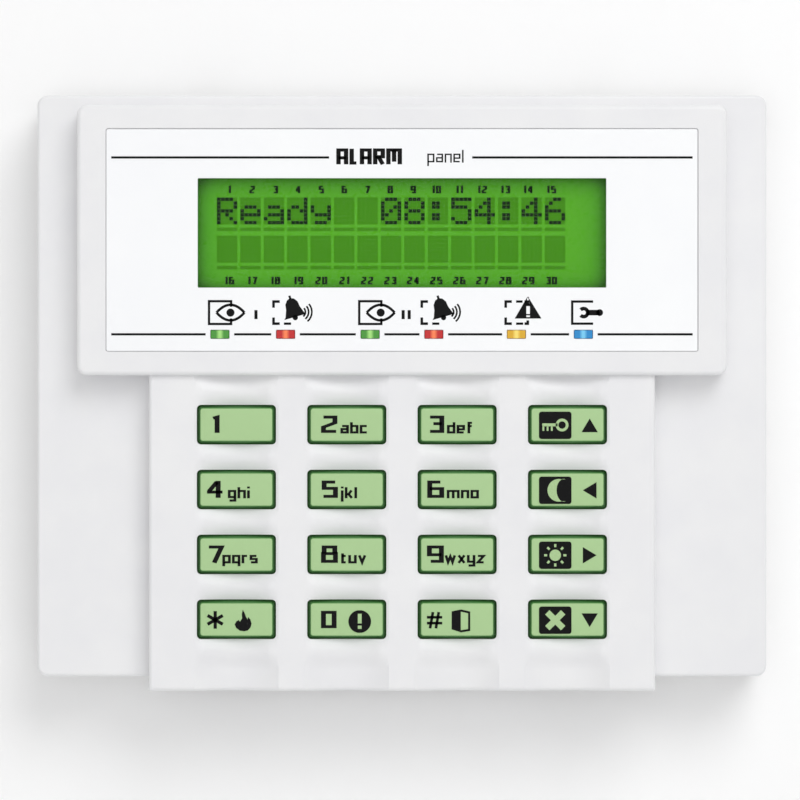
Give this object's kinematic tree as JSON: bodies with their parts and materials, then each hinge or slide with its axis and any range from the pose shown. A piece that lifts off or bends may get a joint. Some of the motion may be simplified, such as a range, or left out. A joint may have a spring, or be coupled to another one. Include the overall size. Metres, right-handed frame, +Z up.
{
  "type": "alarm keypad panel",
  "caption": "Wall-mounted alarm keypad with a backlit character display, status lights and rubber keys in a white housing that swings open from its wall plate.",
  "frame": {"origin": "centre of the wall screw pattern, on the wall plane", "axes": "+X across the panel to the right as a user faces it, +Y into the wall, +Z up; the keys and display face -Y"},
  "size_m": [0.113, 0.022, 0.092],
  "materials": {
    "housing_abs": "fine satin moulding, white",
    "base_abs": "fine satin moulding, white",
    "fascia_acrylic": "smooth glossy white, printed on its back",
    "clear_acrylic": "clear polished acrylic",
    "lens_green": "tinted clear polycarbonate",
    "lens_red": "tinted clear polycarbonate",
    "lens_yellow": "tinted clear polycarbonate",
    "lens_blue": "tinted clear polycarbonate",
    "frame_steel": "black painted pressed steel",
    "lcd_glass": "lit green display glass",
    "light_guide": "frosted acrylic light guide",
    "silicone_strip": "conductive silicone strip",
    "circuit_board": "green solder mask",
    "header_nylon": "moulded black nylon",
    "zinc_steel": "bright zinc plate",
    "key_silicone": "translucent green silicone, lit from behind",
    "gold_plate": "gold plate",
    "led_body": "white moulded polymer",
    "chip_epoxy": "moulded epoxy",
    "tinned_lead": "tinned metal",
    "capacitor_sleeve": "shrunk sleeve",
    "capacitor_ceramic": "fired ceramic",
    "terminal_nylon": "moulded green nylon",
    "spring_steel": "drawn spring wire",
    "print_ink": "screen printed black ink"
  },
  "bodies": {
    "base": {"rear_base": "base_abs"},
    "front": {"front_shell": "housing_abs", "fascia_panel": "fascia_acrylic", "lcd_window": "clear_acrylic", "indicator_green": "lens_green", "indicator_red": "lens_red", "indicator_yellow": "lens_yellow", "indicator_blue": "lens_blue", "lcd_frame": "frame_steel", "lcd_glass": "lcd_glass", "lcd_backlight": "light_guide", "lcd_contact_strips": "silicone_strip", "lcd_board": "circuit_board", "lcd_header": "header_nylon", "lcd_screws": "zinc_steel", "key_mat": "key_silicone", "main_board": "circuit_board", "contact_pads": "gold_plate", "key_leds": "led_body", "status_leds": "led_body", "microcontroller": "chip_epoxy", "microcontroller_leads": "tinned_lead", "quartz_crystal": "tinned_lead", "voltage_regulator": "chip_epoxy", "electrolytic_capacitors": "capacitor_sleeve", "chip_resistors": "chip_epoxy", "chip_capacitors": "capacitor_ceramic", "terminal_block": "terminal_nylon", "terminal_screws": "zinc_steel", "terminal_clamps": "tinned_lead", "buzzer_case": "header_nylon", "buzzer_disc": "gold_plate", "service_header": "header_nylon", "service_pins": "gold_plate", "tamper_switch": "header_nylon", "tamper_spring": "spring_steel", "board_screws": "zinc_steel"},
    "tamper": {"tamper_plunger": "led_body"},
    "key_1": {"key_1": "key_silicone"},
    "key_2": {"key_2": "key_silicone"},
    "key_3": {"key_3": "key_silicone"},
    "key_up": {"key_up": "key_silicone"},
    "key_4": {"key_4": "key_silicone"},
    "key_5": {"key_5": "key_silicone"},
    "key_6": {"key_6": "key_silicone"},
    "key_left": {"key_left": "key_silicone"},
    "key_7": {"key_7": "key_silicone"},
    "key_8": {"key_8": "key_silicone"},
    "key_9": {"key_9": "key_silicone"},
    "key_right": {"key_right": "key_silicone"},
    "key_star": {"key_star": "key_silicone"},
    "key_0": {"key_0": "key_silicone"},
    "key_hash": {"key_hash": "key_silicone"},
    "key_down": {"key_down": "key_silicone"}
  },
  "joints": [
    {"name": "front_swing", "type": "hinge", "parent": "base", "child": "front", "pos_m": [0, -0.0044, 0.042], "axis": [-1, 0, 0], "range_deg": [0, 70]},
    {"name": "tamper_slide", "type": "slide", "parent": "front", "child": "tamper", "axis": [0, 1, 0], "range_m": [0, 0.0015], "deforming": ["tamper_spring"]},
    {"name": "key_1_press", "type": "slide", "parent": "front", "child": "key_1", "axis": [0, 1, 0], "range_m": [0, 0.0012], "stiffness_N_per_m": 250, "springref_m": -0.004},
    {"name": "key_2_press", "type": "slide", "parent": "front", "child": "key_2", "axis": [0, 1, 0], "range_m": [0, 0.0012], "stiffness_N_per_m": 250, "springref_m": -0.004},
    {"name": "key_3_press", "type": "slide", "parent": "front", "child": "key_3", "axis": [0, 1, 0], "range_m": [0, 0.0012], "stiffness_N_per_m": 250, "springref_m": -0.004},
    {"name": "key_up_press", "type": "slide", "parent": "front", "child": "key_up", "axis": [0, 1, 0], "range_m": [0, 0.0012], "stiffness_N_per_m": 250, "springref_m": -0.004},
    {"name": "key_4_press", "type": "slide", "parent": "front", "child": "key_4", "axis": [0, 1, 0], "range_m": [0, 0.0012], "stiffness_N_per_m": 250, "springref_m": -0.004},
    {"name": "key_5_press", "type": "slide", "parent": "front", "child": "key_5", "axis": [0, 1, 0], "range_m": [0, 0.0012], "stiffness_N_per_m": 250, "springref_m": -0.004},
    {"name": "key_6_press", "type": "slide", "parent": "front", "child": "key_6", "axis": [0, 1, 0], "range_m": [0, 0.0012], "stiffness_N_per_m": 250, "springref_m": -0.004},
    {"name": "key_left_press", "type": "slide", "parent": "front", "child": "key_left", "axis": [0, 1, 0], "range_m": [0, 0.0012], "stiffness_N_per_m": 250, "springref_m": -0.004},
    {"name": "key_7_press", "type": "slide", "parent": "front", "child": "key_7", "axis": [0, 1, 0], "range_m": [0, 0.0012], "stiffness_N_per_m": 250, "springref_m": -0.004},
    {"name": "key_8_press", "type": "slide", "parent": "front", "child": "key_8", "axis": [0, 1, 0], "range_m": [0, 0.0012], "stiffness_N_per_m": 250, "springref_m": -0.004},
    {"name": "key_9_press", "type": "slide", "parent": "front", "child": "key_9", "axis": [0, 1, 0], "range_m": [0, 0.0012], "stiffness_N_per_m": 250, "springref_m": -0.004},
    {"name": "key_right_press", "type": "slide", "parent": "front", "child": "key_right", "axis": [0, 1, 0], "range_m": [0, 0.0012], "stiffness_N_per_m": 250, "springref_m": -0.004},
    {"name": "key_star_press", "type": "slide", "parent": "front", "child": "key_star", "axis": [0, 1, 0], "range_m": [0, 0.0012], "stiffness_N_per_m": 250, "springref_m": -0.004},
    {"name": "key_0_press", "type": "slide", "parent": "front", "child": "key_0", "axis": [0, 1, 0], "range_m": [0, 0.0012], "stiffness_N_per_m": 250, "springref_m": -0.004},
    {"name": "key_hash_press", "type": "slide", "parent": "front", "child": "key_hash", "axis": [0, 1, 0], "range_m": [0, 0.0012], "stiffness_N_per_m": 250, "springref_m": -0.004},
    {"name": "key_down_press", "type": "slide", "parent": "front", "child": "key_down", "axis": [0, 1, 0], "range_m": [0, 0.0012], "stiffness_N_per_m": 250, "springref_m": -0.004}
  ],
  "couplings": [
    {"joint": "tamper_slide", "follows": "front_swing", "m_per_rad": 0.001227}
  ]
}
